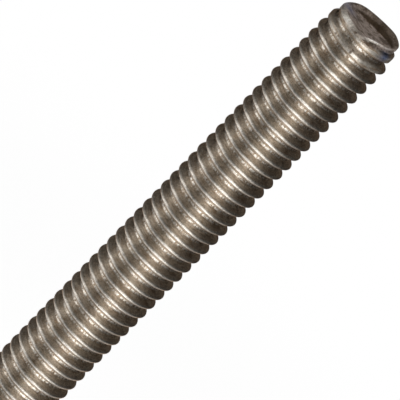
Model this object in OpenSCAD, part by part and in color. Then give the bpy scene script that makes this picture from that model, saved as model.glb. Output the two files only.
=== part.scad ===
// Short length of threaded rod with a full-length rolled thread, a plain
// lower end and a cupped upper end. Millimetres, +Z along the rod, origin
// at the middle of the lower end face.

/* [Rod] */
// Overall length, from one end face to the other
rod_length = 101.6; // [40:0.1:125]
// Length of the lead-in taper at each end
taper_length = 2.8; // [1:0.1:6]
// Height of the thread that is left at the ends
end_land = 0.17; // [0.05:0.01:0.3]

/* [Thread] */
// Diameter over the crests
major_d = 9.25; // [7:0.01:14]
// Distance along the rod from one crest to the next
pitch = 1.5875; // [1.3:0.0025:2.2]
// Angle between the two flanks of a groove
flank_angle = 60; // [50:1:70]
// Width of the flat along each crest
crest_flat = 0.2; // [0.15:0.01:0.35]
// Width of the flat along the bottom of each groove
root_flat = 0.4; // [0.2:0.01:0.5]
// Way in which the thread winds
thread_hand = "left"; // [left, right]
// How far below the rod's top the first crest passes the +X side
first_crest = 1.65; // [0:0.01:2.2]

/* [Upper end] */
// Lean of the cut from square
cut_lean = 4.7; // [0:0.1:6]
// Side on which the cut is highest, counted from +X towards +Y
cut_heading = 28; // [0:1:359]
// Depth of the cup at its middle, below the cut
cup_depth = 0.65; // [0.3:0.01:0.9]
// Slope of the cup's wall above its floor
cup_wall_angle = 60; // [45:1:75]
// Lean of the cup's floor from square
cup_tilt = 5; // [0:0.5:8]
// Side on which the cup is deepest, counted from +X towards +Y
cup_heading = 90; // [0:5:355]
// Least wall between the cup's mouth and the root of the thread
rim_wall = 0.15; // [0.1:0.05:0.4]

/* [Hidden] */

steel = [0.45, 0.41, 0.36];
round_fn = 96;
overrun = 1;

major_r = major_d / 2;
flank_slope = tan(flank_angle / 2);
thread_depth = (pitch - crest_flat - root_flat) / (2 * flank_slope);
root_r = major_r - thread_depth;
end_r = root_r + end_land;

// The ridge's section is a triangle. Its foot lies inside the core, short of
// the next turn's foot, and its edge stands above the crest flat.
foot_r = root_r - root_flat / (4 * flank_slope);
foot_half = pitch / 2 - root_flat / 4;
edge_r = major_r + crest_flat / (2 * flank_slope);

// The ridge runs past both ends, and the envelope trims it there
turns = ceil(rod_length / pitch) + 3;
facet_limit = 7200;
facets_per_step = 6;
steps_per_turn = min(24, floor(facet_limit / (facets_per_step * turns)));
wind = thread_hand == "left" ? -1 : 1;
// Chords between steps dip inwards, so the corners stand out by half of that
chord_fit = 2 / (1 + cos(180 / steps_per_turn));

// The cut touches the rod's full height at one point of the end's edge
cut_z = rod_length - end_r * tan(cut_lean);

// The cup reaches furthest out where its floor leans away from the cut
function slope_towards(lean, heading) = tan(lean) * [cos(heading), sin(heading)];
cup_slope = norm(slope_towards(cut_lean, cut_heading) + slope_towards(cup_tilt, cup_heading));
cup_spread = cup_slope / tan(cup_wall_angle);
cup_mouth_r = (root_r - rim_wall) * (1 - cup_spread);
cup_floor_r = cup_mouth_r - cup_depth / tan(cup_wall_angle);
cup_over_r = cup_mouth_r + overrun / tan(cup_wall_angle);

function ridge_section() = [
    [foot_r, -foot_half],
    [edge_r, 0],
    [foot_r, foot_half]
];

// Height of the ridge's edge, which crosses +X at first_crest below the top
function ridge_z(step) =
    rod_length - first_crest + pitch * (step / steps_per_turn - turns + 2);

function ridge_points() = [
    for (step = [0 : turns * steps_per_turn], corner = ridge_section())
        let (
            angle = wind * 360 * step / steps_per_turn,
            r = chord_fit * corner[0]
        )
        [r * cos(angle), r * sin(angle), ridge_z(step) + corner[1]]
];

function ridge_sides(last) = [
    for (step = [0 : last - 1], corner = [0 : 2])
        let (
            a = 3 * step + corner,
            b = 3 * step + (corner + 1) % 3
        )
        wind < 0 ? [b, a, a + 3, b + 3] : [a, b, b + 3, a + 3]
];

function ridge_caps(last) = wind < 0
    ? [[0, 1, 2], [3 * last + 2, 3 * last + 1, 3 * last]]
    : [[2, 1, 0], [3 * last, 3 * last + 1, 3 * last + 2]];

module thread_ridge() {
    last = turns * steps_per_turn;
    faces = concat(ridge_caps(last), ridge_sides(last));
    polyhedron(points = ridge_points(), faces = faces, convexity = 10);
}

module core() {
    cylinder(h = rod_length, r = root_r, $fn = round_fn);
}

// Outer form of the rod: the crest cylinder with a lead-in taper at each end
module envelope() {
    outline = [
        [0, 0],
        [end_r, 0],
        [major_r, taper_length],
        [major_r, rod_length - taper_length],
        [end_r, rod_length],
        [0, rod_length]
    ];
    rotate_extrude($fn = round_fn)
        polygon(outline);
}

// What the leaning cut takes off the square upper end
module end_cut() {
    translate([0, 0, cut_z])
        rotate([0, 0, cut_heading])
            rotate([0, -cut_lean, 0])
                translate([-major_d, -major_d, 0])
                    cube([2 * major_d, 2 * major_d, major_d]);
}

// Thread rolling draws the skin past the middle and leaves a shallow cup
module end_cup() {
    translate([0, 0, cut_z])
        rotate([0, 0, cup_heading])
            rotate([0, cup_tilt, 0])
                translate([0, 0, -cup_depth])
                    cylinder(
                        h = cup_depth + overrun,
                        r1 = cup_floor_r,
                        r2 = cup_over_r,
                        $fn = round_fn
                    );
}

module threaded_rod() {
    color(steel)
        difference() {
            intersection() {
                union() {
                    core();
                    thread_ridge();
                }
                envelope();
            }
            end_cut();
            end_cup();
        }
}

threaded_rod();
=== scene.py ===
"""Looks of the threaded rod: one rolled-thread mesh, its steel, and a plain studio.

Lengths are metres, unless a comment says mm. An angle is counted from +X towards +Y, and an
azimuth from the camera's side, -Y, towards +X. Both are degrees where they are written as
numbers. The studio's greys are the share of light that a card returns.
"""
import math

import bpy
import numpy as np
from mathutils import Matrix, Vector


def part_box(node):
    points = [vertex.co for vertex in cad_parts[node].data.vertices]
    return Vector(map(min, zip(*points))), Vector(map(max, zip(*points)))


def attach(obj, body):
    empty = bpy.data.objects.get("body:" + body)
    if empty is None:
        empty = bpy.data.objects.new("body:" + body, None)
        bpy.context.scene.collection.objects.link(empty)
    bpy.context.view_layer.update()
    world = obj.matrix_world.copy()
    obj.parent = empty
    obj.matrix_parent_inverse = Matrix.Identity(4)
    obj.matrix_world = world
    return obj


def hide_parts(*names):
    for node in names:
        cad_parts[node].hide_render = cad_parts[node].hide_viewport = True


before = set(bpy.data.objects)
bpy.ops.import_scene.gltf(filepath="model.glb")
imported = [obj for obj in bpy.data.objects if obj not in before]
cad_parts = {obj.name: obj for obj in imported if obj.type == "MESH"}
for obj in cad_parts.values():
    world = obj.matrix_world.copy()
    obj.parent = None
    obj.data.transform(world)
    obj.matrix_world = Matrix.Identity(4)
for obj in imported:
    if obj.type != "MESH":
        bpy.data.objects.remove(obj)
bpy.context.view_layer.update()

MM = 0.001
TURN = 2 * math.pi

# ---------------------------------------------------------------- sizes

rod_low, rod_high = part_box("threaded_rod")
ROD_LENGTH = rod_high[2] - rod_low[2]
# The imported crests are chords, so the drawn ones stay a hair inside them
INSIDE = 0.9985
CREST_R = INSIDE * (rod_high[0] - rod_low[0]) / 2

PITCH = 1.5875 * MM
# How far the crest line is below the top, at the angle of zero
FIRST_CREST = 1.65 * MM
FLANK_TILT = math.radians(60)
CREST_ROUND = 0.26 * MM
ROOT_ROUND = 0.26 * MM
SHARP_DEPTH = PITCH / 2 * math.tan(FLANK_TILT)
THREAD_DEPTH = SHARP_DEPTH - (CREST_ROUND + ROOT_ROUND) * (1 / math.cos(FLANK_TILT) - 1)
ROOT_R = CREST_R - THREAD_DEPTH

# Towards each end the ridges are less and less filled, down to a nearly bare core. Past the
# taper there is room to spare over them, so that they keep their whole crest
TAPER_LENGTH = 3.2 * MM
END_R = ROOT_R + 0.07 * MM
MOST_FILLED = 1.15
FILLED_ROUND = 0.08 * MM

# The upper end face: a leaning cut with a dished floor that is lowest at the back
CUT_MIDDLE = ROD_LENGTH - 0.40 * MM
CUT_RISE_X = 0.072
CUT_RISE_Y = 0.038
FLOOR_MIDDLE = ROD_LENGTH - 1.07 * MM
FLOOR_RISE_Y = -0.089
FLOOR_BEND_X = 0.03 / MM
# The wall rises to the cut a land's width inside the edge, or inside this radius where the edge
# is further out. The same width rounds the corner at its top
WALL_R = 3.92 * MM
WALL_SLOPE = 1.2
LAND = 0.05 * MM
WALL_FOOT_ROUND = 0.15 * MM
# Tool marks on the floor: two sets of waves, by how far a wave goes along x and y in one radian
MARK_DEPTH = 0.012 * MM
MARKS = [
    (0.37 * MM, 1.3 / 3 * MM),
    (-1.1 * MM, 0.21 * MM),
]

# What the cutters left standing above that cut, or pressed below it: angle, spread, height in
# mm. It is greatest at the edge, and falls off inwards by this power of the radius
STANDING_POWER = 6
STANDING = [
    (50, 17, 0.10),
    (128, 24, 0.14),
    (-58, 20, 0.22),
    (-12, 16, 0.05),
    (-104, 13, -0.12),
]
# Where the front edge was rolled over: angle, spread, how far it dropped, and from which radius
ROLLED_AT, ROLLED_SPREAD, ROLLED_DROP = -135, 42, 0.34 * MM
ROLLED_R, ROLLED_WIDTH = 3.25 * MM, 0.75 * MM
# Where the last turn was torn off the side: angle, spread, depth, and how far down. It ends
# steeply, by a power well below one, and goes further down at its hollow
TORN_AT, TORN_SPREAD, TORN_DEPTH, TORN_REACH = -44, 34, 0.36 * MM, 0.68 * MM
TORN_POWER = 0.4
HOLLOW_AT, HOLLOW_SPREAD, HOLLOW_REACH = -78, 20, 0.12 * MM
# The cutters also pushed the last turns along, less and less within this reach of the end.
# Finding where a place was rolled takes a few passes
PUSHED, PUSHED_REACH = 0.12 * MM, 2.4 * MM
PUSHED_PASSES = 4
# They pressed some crests: angle, spread, height below the top in mm, its spread, depth in mm
PRESSED = [
    (-45, 24, 3.00, 0.50, 0.16),
    (-110, 36, 2.60, 0.40, 0.10),
    (-95, 60, 1.20, 0.50, 0.05),
    (-20, 40, 1.55, 0.50, 0.05),
]

# ---------------------------------------------------------------- thread form


def crest_height(angle):
    """Height of a crest line. Left-hand, so it falls as the angle grows."""
    return ROD_LENGTH - FIRST_CREST - PITCH * angle / TURN


def smooth_min(a, b, reach):
    """The lesser of two lengths, with the corner between them rounded."""
    h = np.clip(0.5 + 0.5 * (b - a) / reach, 0, 1)
    return b + (a - b) * h - reach * h * (1 - h)


def smooth_max(a, b, reach):
    """The greater of two lengths, with the corner between them rounded."""
    return -smooth_min(-a, -b, reach)


def arc_drop(away, arc_r):
    """How far an arc falls from its top. Where it reaches the flank's tilt it goes on straight."""
    edge = arc_r * math.sin(FLANK_TILT)
    on_arc = arc_r - np.sqrt(np.maximum(arc_r ** 2 - away ** 2, 0))
    on_flank = arc_r * (1 - math.cos(FLANK_TILT)) + (away - edge) * math.tan(FLANK_TILT)
    return np.where(away < edge, on_arc, on_flank)


def profile(offset):
    """Radius of the plain thread at a distance along the rod from the nearest crest."""
    away = np.abs(offset)
    from_crest = CREST_R - arc_drop(away, CREST_ROUND)
    from_root = ROOT_R + arc_drop(PITCH / 2 - away, ROOT_ROUND)
    return np.where(away < PITCH / 4, from_crest, from_root)


def near(angle, middle, spread):
    """A smooth bump of one. The angle is in radians, its middle and spread are degrees."""
    away = (np.degrees(angle) - middle + 180) % 360 - 180
    return np.exp(-((away / spread) ** 2))


def pushed(z):
    """Where the cutting left what was rolled at this height."""
    return z + PUSHED * np.exp(-(((ROD_LENGTH - z) / PUSHED_REACH) ** 2))


def as_rolled(z):
    """The height at which what is now at this height was rolled."""
    rolled = z
    for _ in range(PUSHED_PASSES):
        rolled = z - PUSHED * np.exp(-(((ROD_LENGTH - rolled) / PUSHED_REACH) ** 2))
    return rolled


def nearest_crest(angle, rolled_z):
    """Height of the crest line that is nearest at each angle and height, as rolled."""
    first = crest_height(angle)
    return first + np.round((rolled_z - first) / PITCH) * PITCH


def pressing(angle, crest_z):
    """How deep the crest at this height was pressed."""
    below = (ROD_LENGTH - crest_z) / MM
    depth = 0 * crest_z
    for middle, spread, height, reach, deep in PRESSED:
        at_height = np.exp(-(((below - height) / reach) ** 2))
        depth = np.maximum(depth, near(angle, middle, spread) * at_height * deep)
    return depth * MM


def filled_r(angle, crest_z):
    """How far out the ridge with its crest at this height is filled."""
    from_end = np.minimum(crest_z, ROD_LENGTH - crest_z)
    tapered = END_R + (CREST_R - END_R) * np.clip(from_end / TAPER_LENGTH, 0, MOST_FILLED)
    return tapered - pressing(angle, crest_z)


def torn(angle, z):
    """How much of the side was torn away, where the last turn came off."""
    depth = near(angle, TORN_AT, TORN_SPREAD) * TORN_DEPTH
    reach = TORN_REACH + HOLLOW_REACH * near(angle, HOLLOW_AT, HOLLOW_SPREAD)
    return depth * np.clip(1 - (ROD_LENGTH - z) / reach, 0, 1) ** TORN_POWER


def radius(angle, z):
    """Radius of the finished side at each angle and height."""
    rolled_z = as_rolled(z)
    crest_z = nearest_crest(angle, rolled_z)
    plain = profile(rolled_z - crest_z)
    return smooth_min(plain, filled_r(angle, crest_z), FILLED_ROUND) - torn(angle, z)


def cut_height(x, y):
    """Height of the leaning cut through the upper end, with what the cutters left on it."""
    angle, r = np.arctan2(y, x), np.hypot(x, y)
    standing = sum(height * near(angle, middle, spread) for middle, spread, height in STANDING)
    rolled = ROLLED_DROP * near(angle, ROLLED_AT, ROLLED_SPREAD)
    plane = CUT_MIDDLE + x * CUT_RISE_X + y * CUT_RISE_Y
    edge = plane + standing * MM * np.clip(r / END_R, 0, 1) ** STANDING_POWER
    return np.minimum(edge - rolled * np.clip((r - ROLLED_R) / ROLLED_WIDTH, 0, 1) ** 2, ROD_LENGTH)


def floor_height(x, y):
    """Height of the dished floor within the cut, with its tool marks."""
    marks = sum(np.sin(x / along_x + y / along_y) for along_x, along_y in MARKS)
    return FLOOR_MIDDLE + y * FLOOR_RISE_Y + x * x * FLOOR_BEND_X + MARK_DEPTH * marks


def face_height(x, y, edge_r):
    """Height of the upper end face inside its edge."""
    r = np.hypot(x, y)
    cut = cut_height(x, y)
    wall = cut - (np.minimum(edge_r, WALL_R) - LAND - r) * WALL_SLOPE
    return smooth_min(cut, smooth_max(floor_height(x, y), wall, WALL_FOOT_ROUND), LAND)


# ---------------------------------------------------------------- mesh

# How many columns of points there are round the rod, and at which shares of a pitch each of
# them has a point: on the arcs of crest and root at these tilts, and in the middle of a flank
COLUMNS = 84
ARC_TILTS = [-60, -40, -20, 0, 20, 40, 60]
ROOT_STEPS = [ROOT_ROUND / PITCH * math.sin(math.radians(tilt)) for tilt in ARC_TILTS]
CREST_STEPS = [CREST_ROUND / PITCH * math.sin(math.radians(tilt)) for tilt in ARC_TILTS]
FLANK_STEP = 0.25
PROFILE_STEPS = [-FLANK_STEP] + CREST_STEPS + [FLANK_STEP] + [0.5 + k for k in ROOT_STEPS]
PER_TURN = len(PROFILE_STEPS)
# The grid starts out this many turns longer than the rod at each end
SPARE_TURNS = 3
# Width of the small bevel where the side meets an end
EDGE = 0.04 * MM
# Radii of the rings that fill the ends, as shares of an end's own. The upper end's are close
# together over its wall, and beyond this share they go over into the side's uneven edge
EDGE_SHARE = 0.85
FACE_RINGS = (
    [0.985, 0.97, 0.955, 0.94, 0.92, 0.9, 0.88, 0.86, 0.84, 0.82, 0.8, 0.78, 0.75, 0.72, 0.68]
    + [0.64, 0.58, 0.5, 0.42, 0.34, 0.26, 0.18, 0.1]
)
FOOT_RINGS = [0.9, 0.6, 0.3]


class Shell:
    """Points, faces and, for each corner, its place on the thread laid out as a flat strip."""

    def __init__(self):
        self.points = []
        self.faces = []
        self.strip = []

    def add(self, x, y, z):
        """Adds points, and returns the number of the first."""
        start = len(self.points)
        self.points.extend(np.stack(np.broadcast_arrays(x, y, z), -1).reshape(-1, 3).tolist())
        return start

    def face(self, *corners):
        """A face from (point, column, step) corners. Off the thread, column and step are None."""
        self.faces.append([c[0] for c in corners])
        steps = [c[2] for c in corners if c[2] is not None]
        turn = min(steps) // PER_TURN if steps else 0
        for _, column, step in corners:
            if step is None:
                self.strip.append((0.0, 0.0, 0.0))
            else:
                run = CREST_R * TURN * (column / COLUMNS - turn)
                across = (step // PER_TURN - turn + PROFILE_STEPS[step % PER_TURN]) * PITCH
                self.strip.append((run, across, 0.0))


def side_columns(shell):
    """Adds the side's points, a helical grid cut to the rod's ends, one column at each angle."""
    turns = math.ceil(ROD_LENGTH / PITCH) + SPARE_TURNS
    steps = np.arange(-turns * PER_TURN, SPARE_TURNS * PER_TURN)
    rise = np.array([k // PER_TURN + PROFILE_STEPS[k % PER_TURN] for k in steps]) * PITCH
    columns = []
    for i in range(COLUMNS):
        angle = TURN * i / COLUMNS
        across, along = math.cos(angle), math.sin(angle)
        z = pushed(crest_height(angle) + rise)
        edge_r = float(radius(angle, cut_height(END_R * across, END_R * along)))
        top = float(cut_height(edge_r * across, edge_r * along)) - EDGE
        keep = np.flatnonzero((z > 2 * EDGE) & (z < top - 0.5 * EDGE))
        heights = np.concatenate([z[keep], [EDGE, top]])
        r = radius(angle, heights)
        start = shell.add(r * across, r * along, heights)
        foot = shell.add((r[-2] - EDGE) * across, (r[-2] - EDGE) * along, 0.0)
        edge_r = r[-1] - EDGE
        x, y = edge_r * across, edge_r * along
        lip = shell.add(x, y, face_height(x, y, edge_r))
        columns.append({
            "angle": angle, "edge_r": edge_r,
            "start": start, "first": int(steps[keep[0]]), "last": int(steps[keep[-1]]),
            "low": start + len(keep), "rim": start + len(keep) + 1, "foot": foot, "lip": lip,
        })
    return columns


def stitch_sides(shell, columns):
    """Joins each column to the next. The last meets the first one turn further along the thread."""
    for i, here in enumerate(columns):
        following = columns[(i + 1) % COLUMNS]
        shift = PER_TURN if i == COLUMNS - 1 else 0
        low_here, high_here = here["first"], here["last"]
        low_next, high_next = following["first"] + shift, following["last"] + shift

        def left(step):
            return here["start"] + step - low_here, i, step

        def right(step):
            return following["start"] + step - low_next, i + 1, step

        def loose(point):
            return point, None, None

        foot_here, foot_next = loose(here["low"]), loose(following["low"])
        rim_here, rim_next = loose(here["rim"]), loose(following["rim"])
        shell.face(foot_here, foot_next, left(low_here))
        for step in range(low_here, low_next):
            shell.face(left(step), foot_next, left(step + 1))
        shell.face(left(low_next), foot_next, right(low_next))
        for step in range(low_next, high_here):
            shell.face(left(step), right(step), right(step + 1), left(step + 1))
        for step in range(high_here, high_next):
            shell.face(rim_here, right(step), right(step + 1))
        shell.face(left(high_here), right(high_here), rim_here)
        shell.face(rim_here, right(high_next), rim_next)
        shell.face(loose(here["foot"]), loose(following["foot"]), foot_next, foot_here)
        shell.face(rim_here, rim_next, loose(following["lip"]), loose(here["lip"]))


def close_end(shell, outer, rings, upward):
    """Fills an end with rings of points and one in the middle. Each ring is (x, y, z) arrays."""
    for x, y, z in rings:
        start = shell.add(x, y, z)
        inner = [start + i for i in range(COLUMNS)]
        for i in range(COLUMNS):
            j = (i + 1) % COLUMNS
            corners = [outer[i], outer[j], inner[j], inner[i]]
            shell.face(*[(point, None, None) for point in (corners if upward else corners[::-1])])
        outer = inner
    middle = shell.add(0.0, 0.0, np.mean(rings[-1][2]))
    for i in range(COLUMNS):
        corners = [outer[i], outer[(i + 1) % COLUMNS], middle]
        shell.face(*[(point, None, None) for point in (corners if upward else corners[::-1])])


def face_rings(columns):
    """Rings of the upper end, from its edge to its middle."""
    angles = np.array([c["angle"] for c in columns])
    edge_r = np.array([c["edge_r"] for c in columns])
    rings = []
    for share in FACE_RINGS:
        outer = max(0.0, (share - EDGE_SHARE) / (1 - EDGE_SHARE))
        r = share * (edge_r * outer + END_R * (1 - outer))
        x, y = r * np.cos(angles), r * np.sin(angles)
        rings.append((x, y, face_height(x, y, edge_r)))
    return rings


def foot_rings(columns):
    """Rings of the flat lower end."""
    angles = np.array([c["angle"] for c in columns])
    return [(END_R * k * np.cos(angles), END_R * k * np.sin(angles), 0 * angles) for k in FOOT_RINGS]


def side_normals(points):
    """Normals of the side's formula. A zero leaves an end's point to be smoothed as usual."""
    x, y, z = points.T
    angle = np.arctan2(y, x)
    r = np.hypot(x, y)
    step = 0.004 * MM
    turn = step / CREST_R
    by_height = (radius(angle, z + step) - radius(angle, z - step)) / (2 * step)
    by_angle = (radius(angle + turn, z) - radius(angle - turn, z)) / (2 * turn) / np.maximum(r, step)
    out = np.stack([np.cos(angle), np.sin(angle)], -1)
    aside = np.stack([-np.sin(angle), np.cos(angle)], -1)
    flat = out - by_angle[:, None] * aside
    normals = np.column_stack([flat, -by_height])
    normals /= np.linalg.norm(normals, axis=1, keepdims=True)
    on_side = (np.abs(r - radius(angle, z)) < 0.1 * EDGE) & (z > 1.5 * EDGE)
    on_side &= z < cut_height(END_R * out[:, 0], END_R * out[:, 1]) - 1.5 * EDGE
    return np.where(on_side[:, None], normals, 0)


# ---------------------------------------------------------------- kinds of surface


def fade(value, full, none):
    """One at `full` mm, falling smoothly to zero at `none` mm."""
    t = np.clip((value - none * MM) / ((full - none) * MM), 0, 1)
    return t * t * (3 - 2 * t)


def rise(value, none, full):
    """Zero at `none`, rising smoothly to one at `full`."""
    t = np.clip((value - none) / (full - none), 0, 1)
    return t * t * (3 - 2 * t)


def spot(points, x, y, below, spread):
    """A soft round spot of one about a place given in millimetres."""
    aside = np.hypot(points[:, 0] - x * MM, points[:, 1] - y * MM)
    apart = np.hypot(aside, ROD_LENGTH - points[:, 2] - below * MM)
    return np.exp(-((apart / (spread * MM)) ** 2))


# A pair of numbers says where a kind is whole and where it has faded out, in mm.
# By how far a place is from the line of a crest or a root:
CREST_REACH = 0.08, 0.24
ROOT_REACH = 0.09, 0.20
CREST_LINE = 0.03, 0.12
WORN_REACH = 0.32, 0.48
# By how far it is below a crest's line: the upper and the lower edge of a line of painted shade there
UNDER_UPPER, UNDER_LOWER = (0.38, 0.28), (0.46, 0.56)
# By how much its ridge is lower than a whole one, through the taper and through pressing, and
# by how deep it was pressed
SHORT_UNDER = 0.30, 0.05
SHORT_WORN = 0.38, 0.05
SHORT_FRONT = 0.35, 0.20
PRESSED_WORN = 0.14, 0
# The share of a worn ridge's crest line that stayed bright
LINE_KEPT = 0.7
# The first ridge's front was rubbed bright again, along a line a little below its crest
FRONT_AT, FRONT_SPREAD, FRONT_KEPT = -82, 26, 0.65
FRONT_SHIFT = 0.20 * MM
FRONT_EDGE = 0.12, 0


def thread_zones(angle, rolled_z):
    """Crests and roots, how the end's cutting left the ridges, and a line of painted shade below the last
    ones.
    """
    crest_z = nearest_crest(angle, rolled_z)
    below = crest_z - rolled_z
    away = np.abs(below)
    short = CREST_R - filled_r(angle, crest_z)
    front = near(angle, FRONT_AT, FRONT_SPREAD) * fade(short, *SHORT_FRONT)
    from_line = np.abs(below - FRONT_SHIFT * front)
    worn = np.maximum(fade(pressing(angle, crest_z), *PRESSED_WORN), fade(short, *SHORT_WORN))
    worn = worn * (1 - FRONT_KEPT * front * fade(below, *FRONT_EDGE))
    worn = worn * fade(away, *WORN_REACH) * (1 - LINE_KEPT * fade(from_line, *CREST_LINE))
    return {
        "crest": fade(from_line, *CREST_REACH),
        "root": fade(PITCH / 2 - away, *ROOT_REACH),
        "worn": worn,
        # A line of painted shade below the crests of the last ridges
        "painted_shade_below": fade(below, *UNDER_UPPER) * fade(below, *UNDER_LOWER) * fade(short, *SHORT_UNDER),
    }


# The torn side is where a bump round this angle is over these shares of one, and above a line
# over the first crest. The line's height is in mm: at the angle of zero, what it gains with each
# degree, and its dip at the hollow. It is kept between the least and the most, and then it rises
# with each degree that an angle is below the last one here
TORN_SIDE_AT, TORN_SIDE_SPREAD, TORN_SIDE_EDGE = -50, 52, (0.42, 0.55)
TORN_FROM, TORN_WIDENING = 1.34, 0.015
TORN_DIP, TORN_DIP_SPREAD = 0.15, 14
TORN_LEAST, TORN_MOST = 0.1, 0.66
TORN_RISE, TORN_RISE_FROM = 0.012, -80
TORN_EDGE = 0.05, -0.05
# Its lower edge has a line of painted shade, with a gap, and so has its hollow; its end at the right is
# darker too
SEAM_REACH = 0.08, 0.18
SEAM_GAP, SEAM_GAP_AT, SEAM_GAP_SPREAD = 0.8, -34, 18
SHADED_HOLLOW_AT, SHADED_HOLLOW_SPREAD = -76, 20
DARKER_END, DARKER_END_AT, DARKER_END_SPREAD = 0.7, -22, 16


def torn_zones(angle, rolled_z):
    """The torn side, and how dark it is: painted shade at its lower edge and in its hollow, and darker at
    its end at the right.
    """
    degrees = np.degrees(angle)
    line = TORN_FROM + TORN_WIDENING * degrees - TORN_DIP * near(angle, HOLLOW_AT, TORN_DIP_SPREAD)
    line = np.clip(line, TORN_LEAST, TORN_MOST) + TORN_RISE * np.maximum(TORN_RISE_FROM - degrees, 0)
    above = rolled_z - crest_height(angle) - line * MM
    side = rise(near(angle, TORN_SIDE_AT, TORN_SIDE_SPREAD), *TORN_SIDE_EDGE) * fade(above, *TORN_EDGE)
    # Painted shade along the lower edge, with a gap, and in the hollow
    seam = fade(above, *SEAM_REACH) * (1 - SEAM_GAP * near(angle, SEAM_GAP_AT, SEAM_GAP_SPREAD))
    hollow = near(angle, SHADED_HOLLOW_AT, SHADED_HOLLOW_SPREAD)
    right_end = DARKER_END * near(angle, DARKER_END_AT, DARKER_END_SPREAD)
    return side, np.maximum(seam, np.maximum(hollow, right_end))


# The wall of the upper end, dark with scorch and painted shade, by how far a place is above the floor,
# and by its radius. Its upper part, left out of that, by how far a place is above the cut. That part is
# darkened as painted shade round an angle at the back
WALL_START = 0.15, 0.03
WALL_FROM_R = 2.8, 2.5
UPPER_WALL = -0.30, -0.55
BACK_SHADE, BACK_SHADE_AT, BACK_SHADE_SPREAD = 0.75, 62, 42
# Dark spots on the floor: x, y and how far below the top in mm, the spread in mm, the share
# The first, by the wall at the back right, is painted shade, the second a smudge
FLOOR_SPOTS = [
    ((2.3, 1.6, 1.1), 0.9, 0.8),
    ((-1.6, 0.4, 1.1), 0.5, 0.5),
]
# The smooth part of the rolled edge, and a painted highlight on it
SMOOTH_AT, SMOOTH_SPREAD, SMOOTH_FROM_R = -123, 50, (3.70, 3.25)
PAINTED_GLINT, PAINTED_GLINT_AT, PAINTED_GLINT_SPREAD, PAINTED_GLINT_FROM_R = 0.8, -131, 21, (3.5, 3.2)
# The burr along the torn side's edge, bare metal that is also painted bright as a highlight: angle, spread
# and share. It is whole and has faded out by how far a place is below the cut, and by its radius
BURR = [
    (-67, 17, 1.0),
    (-38, 16, 0.4),
]
BURR_DEPTH = 0.15, 0.28
BURR_FROM_R = 3.3, 3.1


def face_zones(points):
    """The upper end: its wall and spots, dark with scorch and painted shade, the rolled edge, and the
    painted highlights on the burr and the rolled edge.
    """
    x, y, z = points.T
    angle, r = np.arctan2(y, x), np.hypot(x, y)
    cut, floor = cut_height(x, y), floor_height(x, y)
    wall = fade(z - floor, *WALL_START) * fade(r, *WALL_FROM_R)
    upper_wall = wall * fade(z - cut, *UPPER_WALL)
    wall_scorch_and_shade = wall - upper_wall * (1 - BACK_SHADE * near(angle, BACK_SHADE_AT, BACK_SHADE_SPREAD))
    spots = sum(share * spot(points, *middle, spread) for middle, spread, share in FLOOR_SPOTS)
    burr = np.max([share * near(angle, middle, spread) for middle, spread, share in BURR], axis=0)
    painted_glint = PAINTED_GLINT * near(angle, PAINTED_GLINT_AT, PAINTED_GLINT_SPREAD) * fade(r, *PAINTED_GLINT_FROM_R)
    return {
        "rolled": fade(r, *SMOOTH_FROM_R) * near(angle, SMOOTH_AT, SMOOTH_SPREAD),
        "scorch_and_shade": np.clip(np.maximum(wall_scorch_and_shade, spots), 0, 1),
        "brim": upper_wall,
        "burr": burr * fade(cut - z, *BURR_DEPTH) * fade(r, *BURR_FROM_R),
        "painted_glint": painted_glint,
    }


# Blued spots: x, y and how far below the top in mm, the spread in mm, and the share. The torn
# side lost most of its blue
BLUED = [
    ((3.42, -2.28, 0.93), 0.72, 1.0),
    ((-3.2, 0.5, 0.6), 1.0, 0.55),
]
TORN_BLUE_LOSS = 0.8
# What is inside the side and this near to the top is the upper end face
FACE_DEPTH = 3 * MM


def zones(points):
    """The share of each kind of surface at each point: what it is, how the cutting left it, and where shade
    and highlights are painted.
    """
    x, y, z = points.T
    angle, r = np.arctan2(y, x), np.hypot(x, y)
    rolled_z = as_rolled(z)
    face = (r < radius(angle, z) - 0.5 * EDGE) & (z > ROD_LENGTH - FACE_DEPTH)
    thread, end = thread_zones(angle, rolled_z), face_zones(points)
    torn_side, torn_darkening = torn_zones(angle, rolled_z)
    torn_side = torn_side * (1 - face)
    blued = sum(share * spot(points, *middle, spread) for middle, spread, share in BLUED)
    return {
        "crest": thread["crest"],
        "root": thread["root"] * (1 - face),
        "worn": np.where(face, end["rolled"], thread["worn"]),
        "painted_shade_below": thread["painted_shade_below"] * (1 - face),
        "face": face * (1 - end["rolled"]),
        # Scorch and painted shade: in the end's dish, and along the torn side's lower edge and hollow
        "scorch_and_shade": np.where(face, end["scorch_and_shade"], torn_side * torn_darkening),
        "brim": face * end["brim"],
        # Painted highlights: on the burr, which is also bare metal, and on the rolled edge
        "bright": np.maximum(end["burr"], face * end["painted_glint"]),
        "torn": torn_side,
        "blued": blued * (1 - TORN_BLUE_LOSS * torn_side),
    }


def add_object(name, data):
    """A new object in the scene, with this mesh, lamp or camera."""
    obj = bpy.data.objects.new(name, data)
    bpy.context.collection.objects.link(obj)
    return obj


def build_rod():
    """The rod's mesh, with its kinds of surface as attributes."""
    shell = Shell()
    columns = side_columns(shell)
    stitch_sides(shell, columns)
    close_end(shell, [c["lip"] for c in columns], face_rings(columns), upward=True)
    close_end(shell, [c["foot"] for c in columns], foot_rings(columns), upward=False)

    mesh = bpy.data.meshes.new("threaded_rod_steel")
    mesh.from_pydata(shell.points, [], shell.faces)
    mesh.polygons.foreach_set("use_smooth", [True] * len(mesh.polygons))
    points = np.array(shell.points)
    for name, values in zones(points).items():
        kind = mesh.attributes.new(name, "FLOAT", "POINT")
        kind.data.foreach_set("value", values.astype(np.float32))
    strip = mesh.attributes.new("strip", "FLOAT_VECTOR", "CORNER")
    strip.data.foreach_set("vector", np.array(shell.strip, np.float32).ravel())
    mesh.normals_split_custom_set_from_vertices(side_normals(points))
    return add_object("threaded_rod_steel", mesh)


# ---------------------------------------------------------------- steel


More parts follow.
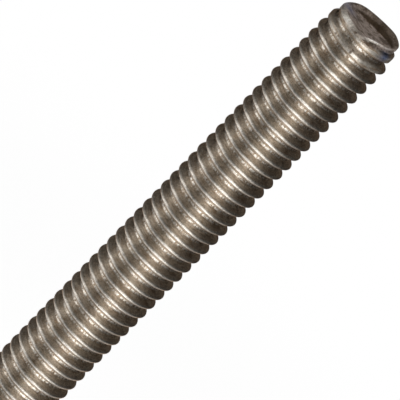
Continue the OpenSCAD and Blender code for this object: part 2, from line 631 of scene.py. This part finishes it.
class Nodes:
    """Short calls for the nodes of one material or world."""

    def __init__(self, owner):
        owner.use_nodes = True
        self.tree = owner.node_tree
        self.shader = self.tree.nodes.get("Principled BSDF")
        self.output = self.tree.nodes.get("Material Output")

    def put(self, value, socket):
        """Links a socket to another, or sets it to a value."""
        if isinstance(value, bpy.types.NodeSocket):
            self.tree.links.new(value, socket)
        else:
            socket.default_value = value

    def node(self, kind, result=0, props=None, **inputs):
        """A new node's output. Inputs go by name, or by number after an underscore."""
        made = self.tree.nodes.new(kind)
        for key, value in (props or {}).items():
            setattr(made, key, value)
        for key, value in inputs.items():
            self.put(value, made.inputs[int(key[1:]) if key[1:].isdigit() else key])
        return made.outputs[result]

    def attribute(self, name, result="Fac"):
        """What the mesh holds under this name."""
        return self.node("ShaderNodeAttribute", result, {"attribute_name": name})

    def math(self, operation, a, b):
        """What an operation makes of two numbers."""
        return self.node("ShaderNodeMath", 0, {"operation": operation}, _0=a, _1=b)

    def times(self, a, b):
        return self.math("MULTIPLY", a, b)

    def plus(self, a, b):
        return self.math("ADD", a, b)

    def most(self, a, b):
        return self.math("MAXIMUM", a, b)

    def vector(self, operation, a, b, result=0):
        """What an operation makes of two vectors or colours."""
        return self.node("ShaderNodeVectorMath", result, {"operation": operation}, _0=a, _1=b)

    def noise(self, vector, scale, detail, rough):
        """Noise of 0 to 1. Three scales stretch it along each axis."""
        if isinstance(scale, tuple):
            vector, scale = self.vector("MULTIPLY", vector, scale), 1
        return self.node(
            "ShaderNodeTexNoise", "Fac", {"noise_dimensions": "3D"},
            Vector=vector, Scale=scale, Detail=detail, Roughness=rough,
        )

    def ramp(self, value, low, high, out_low=0.0, out_high=1.0):
        """Goes smoothly from `out_low`, up to `low`, to `out_high`, from `high` on."""
        return self.node(
            "ShaderNodeMapRange", 0, {"interpolation_type": "SMOOTHSTEP"},
            _0=value, _1=low, _2=high, _3=out_low, _4=out_high,
        )

    def mix(self, factor, a, b):
        """Goes from colour `a` to colour `b` by a share."""
        return self.node("ShaderNodeMix", 2, {"data_type": "RGBA"}, _0=factor, _6=a, _7=b)

    def seen(self):
        """One for rays that look at a thing, mirror it or pass through to it, zero for others."""
        kinds = ("Camera", "Glossy", "Transmission")
        looking, mirroring, passing = [self.node("ShaderNodeLightPath", f"Is {kind} Ray") for kind in kinds]
        return self.most(self.most(looking, mirroring), passing)


# The rolled thread: its two tones, its stains, which also give painted shade, what was rubbed, spotted and
# smeared
BROWN = (0.345, 0.283, 0.22, 1)
STEEL = (0.54, 0.488, 0.415, 1)
STAIN_AND_SHADE = (0.22, 0.155, 0.10, 1)
RUBBED = (0.46, 0.43, 0.385, 1)
SPECKLED = (0.615, 0.58, 0.52, 1)
SMEARED = (0.37, 0.34, 0.295, 1)
# The upper end and the torn side: what was sheared and browned, its scorch, also used as painted shade, its
# blue, and its bare metal, also used as painted highlights
SHEARED = (0.42, 0.345, 0.30, 1)
BROWNED = (0.13, 0.098, 0.072, 1)
SCORCH_AND_SHADE = (0.045, 0.03, 0.018, 1)
BLUE = (0.12, 0.17, 0.33, 1)
BARE_AND_HIGHLIGHT = (1.0, 0.93, 0.84, 1)
# The tint of what the steel mirrors at a flat angle
SHEEN = (0.90, 0.68, 0.52, 1)

# Noises: how fine they are to the mm, their detail and their roughness. The first three follow
# the thread, stretched along it and across it, and the shears are stretched along x, y and z
STREAKS = (0.7, 8, 1), 4, 0.6
LINES = (0.5, 3.5, 1), 3, 0.6
NICKS = (3.6, 2.2, 1), 2, 0.5
SHEARS = (1.6, 1.8, 3), 5, 0.65
GRAIN = 9, 3, 0.7
MOTTLES = 3.2, 2, 0.6
BLOTCHES = 0.8, 4, 0.6

# Ramps: from which value of a noise to which, and from which share to which if not from 0 to 1
STEEL_BY_STREAKS = 0.3, 0.7
STAIN_BY_BLOTCHES = 0.54, 0.70, 0, 0.7
CREST_BY_NICKS = 0.30, 0.42, 0.35, 1
ROOT_STAIN_BY_NICKS = 0.38, 0.48, 0.75, 0
ROOT_SPECKS_BY_NICKS = 0.44, 0.56
SMEARED_BY_LINES = 0.38, 0.58
BROWNED_BY_SHEARS = 0.40, 0.56, 0.9, 0
BRIM_BY_BLOTCHES = 0.4, 0.6, 0, 0.6
TORN_BY_NICKS = 0.34, 0.5, 0.3, 1
BRIGHT_BY_NICKS = 0.28, 0.40, 0.7, 1
BLUE_BY_BLOTCHES = 0.35, 0.5, 0.5, 1
# These two multiply the whole colour
SPECKLE_BY_GRAIN = 0.25, 0.75, 0.5, 1.5
SPECKLE_BY_MOTTLES = 0.3, 0.7, 0.82, 1.18
# How much of the painted shade below the last ridges' crests goes into their colour
PAINTED_SHADE_SHARE = 0.8

# Small dark gouges: x, y and how far below the top in mm, and how far out they reach in mm.
# Within the core's share of that reach they are browned by this share
GOUGES = [
    ((0.30, -4.53, 2.92), 0.20),
    ((0.30, -4.48, 2.74), 0.20),
    ((0.34, -4.28, 2.55), 0.20),
    ((-0.85, -4.0, 0.89), 0.30),
    ((-2.34, -3.79, 2.66), 0.22),
    ((-1.95, -3.99, 2.59), 0.18),
]
GOUGE_CORE, GOUGE_SHARE = 0.4, 0.85

# Roughness of the plain steel and of crests and roots, then what the grain and dull parts add
PLAIN_ROUGH, POLISHED_ROUGH = 0.41, 0.36
ROUGH_BY_GRAIN = 0.3, 0.7, -0.05, 0.08
DULL_ROUGH = 0.14
# How metallic the dull and the bright parts are, and how much the worn ones lose
DULL_METAL, BRIGHT_METAL, WORN_METAL_LOSS = 0.3, 0.5, 0.35
# The steel was drawn along its turns: how much this stretches its highlights, and which way, as
# a share of a turn from the direction round the rod
ANISOTROPY, ANISOTROPY_TURN = 0.8, 0.25
# Relief: how much of each noise is in it, the nicks' ramp, and the strength and depth of it all
STREAK_RELIEF, GRAIN_RELIEF, NICK_RELIEF, SHEAR_RELIEF = 0.5, 0.35, 0.8, 2
RELIEF_BY_NICKS = 0.3, 0.5
RELIEF_STRENGTH, RELIEF_DEPTH = 0.5, 0.03 * MM


def thread_colour(m, kind, noise):
    """Brown steel, stained, rubbed on its crests, spotted in its roots, smeared where worn, and with
    painted shade below the last ridges' crests.
    """
    colour = m.mix(m.ramp(noise["streaks"], *STEEL_BY_STREAKS), BROWN, STEEL)
    colour = m.mix(m.ramp(noise["blotches"], *STAIN_BY_BLOTCHES), colour, STAIN_AND_SHADE)
    colour = m.mix(m.times(kind["crest"], m.ramp(noise["nicks"], *CREST_BY_NICKS)), colour, RUBBED)
    colour = m.mix(m.times(kind["root"], m.ramp(noise["nicks"], *ROOT_STAIN_BY_NICKS)), colour, STAIN_AND_SHADE)
    colour = m.mix(m.times(kind["root"], m.ramp(noise["nicks"], *ROOT_SPECKS_BY_NICKS)), colour, SPECKLED)
    smeared = m.mix(m.ramp(noise["lines"], *SMEARED_BY_LINES), STAIN_AND_SHADE, SMEARED)
    colour = m.mix(kind["worn"], colour, smeared)
    # Painted shade below the crests of the last ridges
    return m.mix(m.times(kind["painted_shade_below"], PAINTED_SHADE_SHARE), colour, STAIN_AND_SHADE)


def sheared_colour(m, kind, noise):
    """The upper end and the torn side, with scorch and painted shade."""
    colour = m.mix(m.ramp(noise["shears"], *BROWNED_BY_SHEARS), SHEARED, BROWNED)
    brim = m.mix(m.ramp(noise["blotches"], *BRIM_BY_BLOTCHES), BROWNED, SHEARED)
    colour = m.mix(kind["brim"], colour, brim)
    side = m.mix(m.ramp(noise["nicks"], *TORN_BY_NICKS), BROWNED, SHEARED)
    colour = m.mix(kind["torn"], colour, side)
    # Scorch, and painted shade in the end's dish and on the torn side
    return m.mix(kind["scorch_and_shade"], colour, SCORCH_AND_SHADE)


def gouged(m, point, colour):
    """Adds the small dark gouges."""
    for (x, y, below), reach in GOUGES:
        apart = m.vector("DISTANCE", point, (x, y, ROD_LENGTH / MM - below), "Value")
        share = m.ramp(apart, GOUGE_CORE * reach, reach, GOUGE_SHARE, 0)
        colour = m.mix(share, colour, BROWNED)
    return colour


def steel():
    """Rolled steel: brown and polished round its thread, dull where it was cut and torn."""
    material = bpy.data.materials.new("rolled_steel")
    m = Nodes(material)
    names = ("crest", "root", "worn", "painted_shade_below", "face", "scorch_and_shade", "brim", "bright", "torn", "blued")
    kind = {name: m.attribute(name) for name in names}
    per_mm = (1 / MM, 1 / MM, 1 / MM)
    strip = m.vector("MULTIPLY", m.attribute("strip", "Vector"), per_mm)
    point = m.vector("MULTIPLY", m.node("ShaderNodeTexCoord", "Object"), per_mm)
    noise = {
        "streaks": m.noise(strip, *STREAKS),
        "lines": m.noise(strip, *LINES),
        "nicks": m.noise(strip, *NICKS),
        "shears": m.noise(point, *SHEARS),
        "grain": m.noise(point, *GRAIN),
        "mottles": m.noise(point, *MOTTLES),
        "blotches": m.noise(point, *BLOTCHES),
    }

    dull = m.most(kind["face"], kind["torn"])
    colour = m.mix(dull, thread_colour(m, kind, noise), sheared_colour(m, kind, noise))
    # Bare metal and painted highlights on the burr and the rolled edge
    colour = m.mix(m.times(kind["bright"], m.ramp(noise["nicks"], *BRIGHT_BY_NICKS)), colour, BARE_AND_HIGHLIGHT)
    colour = m.mix(m.times(kind["blued"], m.ramp(noise["blotches"], *BLUE_BY_BLOTCHES)), colour, BLUE)
    colour = gouged(m, point, colour)
    mottled = m.ramp(noise["mottles"], *SPECKLE_BY_MOTTLES)
    speckled = m.vector("MULTIPLY", colour, m.times(m.ramp(noise["grain"], *SPECKLE_BY_GRAIN), mottled))
    m.put(m.vector("MINIMUM", speckled, (1, 1, 1)), m.shader.inputs["Base Color"])

    rough = m.ramp(m.most(kind["crest"], kind["root"]), 0, 1, PLAIN_ROUGH, POLISHED_ROUGH)
    rough = m.plus(rough, m.ramp(noise["grain"], *ROUGH_BY_GRAIN))
    rough = m.plus(rough, m.times(m.most(kind["worn"], dull), DULL_ROUGH))
    m.put(rough, m.shader.inputs["Roughness"])

    metal = m.ramp(dull, 0, 1, 1, DULL_METAL)
    metal = m.math("SUBTRACT", metal, m.times(kind["worn"], WORN_METAL_LOSS))
    metal = m.times(metal, m.ramp(kind["bright"], 0, 1, 1, 0))
    m.put(m.plus(metal, m.times(kind["bright"], BRIGHT_METAL)), m.shader.inputs["Metallic"])

    m.shader.inputs["Specular Tint"].default_value = SHEEN
    m.shader.inputs["Anisotropic"].default_value = ANISOTROPY
    m.shader.inputs["Anisotropic Rotation"].default_value = ANISOTROPY_TURN
    tangent = m.node("ShaderNodeTangent", 0, {"direction_type": "RADIAL", "axis": "Z"})
    m.put(tangent, m.shader.inputs["Tangent"])

    relief = m.plus(m.times(noise["streaks"], STREAK_RELIEF), m.times(noise["grain"], GRAIN_RELIEF))
    nicked = m.times(m.ramp(noise["nicks"], *RELIEF_BY_NICKS), m.times(kind["root"], NICK_RELIEF))
    relief = m.plus(relief, nicked)
    relief = m.plus(relief, m.times(noise["shears"], m.times(kind["face"], SHEAR_RELIEF)))
    bump = m.node("ShaderNodeBump", 0, Strength=RELIEF_STRENGTH, Distance=RELIEF_DEPTH, Height=relief)
    m.put(bump, m.shader.inputs["Normal"])
    return material


rod = build_rod()
rod.data.materials.append(steel())
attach(rod, "root")
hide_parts("threaded_rod")

# ---------------------------------------------------------------- studio

MIDDLE = Vector((0, 0, ROD_LENGTH / 2))
# Lamps that stand and face the rod: azimuth, distance, height, (width, length), level
SOFTBOXES = {
    "key": (26, 0.45, 0.27, (0.26, 0.50), 1.65),
    "fill": (-70, 0.45, 0.25, (0.20, 0.46), 1.2),
}
# Lamps that lie just over the floor and face up: azimuth, distance, height, (width, length), level
LIGHT_PADS = {
    "key_pad": (27, 0.26, 0.002, (0.10, 0.42), 3.0),
    "fill_pad": (-72, 0.26, 0.002, (0.14, 0.36), 1.0),
}


def place(azimuth, distance, height):
    """A place round the rod."""
    a = math.radians(azimuth)
    return Vector((distance * math.sin(a), -distance * math.cos(a), height))


def square(half, height):
    """Corners of a level square round the rod."""
    return [(half * sx, half * sy, height) for sx, sy in ((-1, -1), (1, -1), (1, 1), (-1, 1))]


def lamp(name, azimuth, distance, height, size, level):
    """A soft lamp. Its level sets how bright it is, whatever its size."""
    data = bpy.data.lights.new(name, "AREA")
    data.shape = "RECTANGLE"
    data.size, data.size_y = size
    data.energy = level * math.pi * size[0] * size[1]
    obj = add_object(name, data)
    obj.location = place(azimuth, distance, height)
    obj.visible_camera = False
    return obj


def lamps():
    """Softboxes with their length as upright as it goes, and pads with theirs towards the rod."""
    for name, values in SOFTBOXES.items():
        obj = lamp(name, *values)
        obj.rotation_mode = "QUATERNION"
        obj.rotation_quaternion = (MIDDLE - obj.location).to_track_quat("-Z", "Y")
    for name, values in LIGHT_PADS.items():
        azimuth = values[0]
        obj = lamp(name, *values)
        obj.rotation_euler = (0, math.pi, math.radians(azimuth))


def plain(name, grey):
    """A dull grey material."""
    material = bpy.data.materials.new(name)
    shader = Nodes(material).shader
    shader.inputs["Base Color"].default_value = (grey, grey, grey, 1)
    shader.inputs["Roughness"].default_value = 1
    shader.inputs["Specular IOR Level"].default_value = 0
    return material


def card(name, corners, grey):
    """A reflector that only the polished steel sees, as when metal is shot in a tent."""
    mesh = bpy.data.meshes.new(name)
    mesh.from_pydata(corners, [], [tuple(range(len(corners)))])
    mesh.materials.append(plain(name, grey))
    obj = add_object(name, mesh)
    for kind in ("camera", "diffuse", "shadow", "transmission", "volume_scatter"):
        setattr(obj, "visible_" + kind, False)


# The tent's walls from azimuth 0 round, in equal shares of the circle
WALL_GREYS = [1.0, 0.8, 0.3, 0.15, 0.1, 0.2, 0.2, 0.2, 0.5, 1.0, 0.6, 0.4]
WALL_WIDTH = 360 / len(WALL_GREYS)
TENT_R = 0.6
TENT_HEIGHT = 1.1
ROOF_GREY = 0.1
# Mats on the floor: azimuths where they start and end, how far out they start, and their grey
MATS = [
    (70, 175, 0.11, 0.15),
    (175, 250, 0.11, 0.5),
    (306, 345, 0.13, 0.15),
]
MAT_HEIGHT = 0.001
MAT_SIDES = 12


def tent():
    """Grey walls, a dark roof and mats round the rod."""
    for k, grey in enumerate(WALL_GREYS):
        start, end = WALL_WIDTH * k, WALL_WIDTH * (k + 1)
        foot = [place(start, TENT_R, 0), place(end, TENT_R, 0)]
        head = [place(end, TENT_R, TENT_HEIGHT), place(start, TENT_R, TENT_HEIGHT)]
        card(f"wall_{k}", foot + head, grey)
    card("roof", square(TENT_R, TENT_HEIGHT), ROOF_GREY)
    for start, end, inner, grey in MATS:
        azimuths = [start + (end - start) * k / MAT_SIDES for k in range(MAT_SIDES + 1)]
        outside = [place(azimuth, TENT_R, MAT_HEIGHT) for azimuth in azimuths]
        inside = [place(azimuth, inner, MAT_HEIGHT) for azimuth in reversed(azimuths)]
        card(f"mat_{start}", outside + inside, grey)


WHITE = (1, 1, 1, 1)
# The paper's grey, the light it adds when it is looked at, as if it was lit from below, and half
# its width. Between these distances from the rod it turns plain white
PAPER = 0.96
PAPER_GLOW = 0.4
PAPER_HALF = 8.0
PLAIN_FROM, PLAIN_TO = 0.08, 0.20


def build_floor():
    """White paper. Far from the rod and its shadow it looks as plain white as the backdrop."""
    mesh = bpy.data.meshes.new("floor")
    mesh.from_pydata(square(PAPER_HALF, 0), [], [(0, 1, 2, 3)])
    material = plain("paper", PAPER)
    m = Nodes(material)
    here = m.node("ShaderNodeNewGeometry", "Position")
    away = m.node("ShaderNodeVectorMath", "Value", {"operation": "LENGTH"}, _0=here)
    seen = m.seen()
    m.put(m.times(seen, PAPER_GLOW), m.shader.inputs["Emission Strength"])
    m.shader.inputs["Emission Color"].default_value = WHITE
    white = m.node("ShaderNodeEmission", 0, Color=WHITE, Strength=1)
    share = m.times(seen, m.ramp(away, PLAIN_FROM, PLAIN_TO))
    surface = m.node("ShaderNodeMixShader", 0, _0=share, _1=m.shader.outputs[0], _2=white)
    m.put(surface, m.output.inputs["Surface"])
    mesh.materials.append(material)
    add_object("floor", mesh)


# The backdrop lights things with this share of what is seen of it
WORLD_LEVEL = 0.5


def build_world():
    """White all round, at one where it is looked at or mirrored."""
    world = bpy.data.worlds.new("studio")
    bpy.context.scene.world = world
    m = Nodes(world)
    back = world.node_tree.nodes["Background"]
    back.inputs["Color"].default_value = WHITE
    m.put(m.ramp(m.seen(), 0, 1, WORLD_LEVEL, 1), back.inputs["Strength"])


build_world()
build_floor()
tent()
lamps()

# ---------------------------------------------------------------- camera

# It looks down by this angle from this far, at a place this far below the top and beside the axis
VIEW_LIFT = math.radians(21.07)
VIEW_DISTANCE = 423.5 * MM
VIEW_BELOW_TOP = 29.47 * MM
VIEW_SIDE = -0.189 * MM
# How much the rod slopes in the picture, and half the picture's width at a distance of one
ROD_SLOPE = math.radians(45.67)
HALF_FRAME = 0.05386
NEAREST, FURTHEST = 0.01, 50


def build_camera():
    """A camera turned about its own view, so that the upright rod lies aslant in the picture."""
    data = bpy.data.cameras.new("camera")
    data.lens = data.sensor_width / 2 / HALF_FRAME
    data.clip_start, data.clip_end = NEAREST, FURTHEST
    obj = add_object("camera", data)
    forward = Vector((0, math.cos(VIEW_LIFT), -math.sin(VIEW_LIFT)))
    along = Vector((0, math.sin(VIEW_LIFT), math.cos(VIEW_LIFT)))
    across = Vector((1, 0, 0))
    right = math.cos(ROD_SLOPE) * along + math.sin(ROD_SLOPE) * across
    up = math.sin(ROD_SLOPE) * along - math.cos(ROD_SLOPE) * across
    target = Vector((VIEW_SIDE, 0, ROD_LENGTH - VIEW_BELOW_TOP))
    turned = Matrix((right, up, -forward)).transposed().to_4x4()
    obj.matrix_world = Matrix.Translation(target - forward * VIEW_DISTANCE) @ turned
    bpy.context.scene.camera = obj


build_camera()
bpy.context.scene.view_settings.view_transform = "Standard"
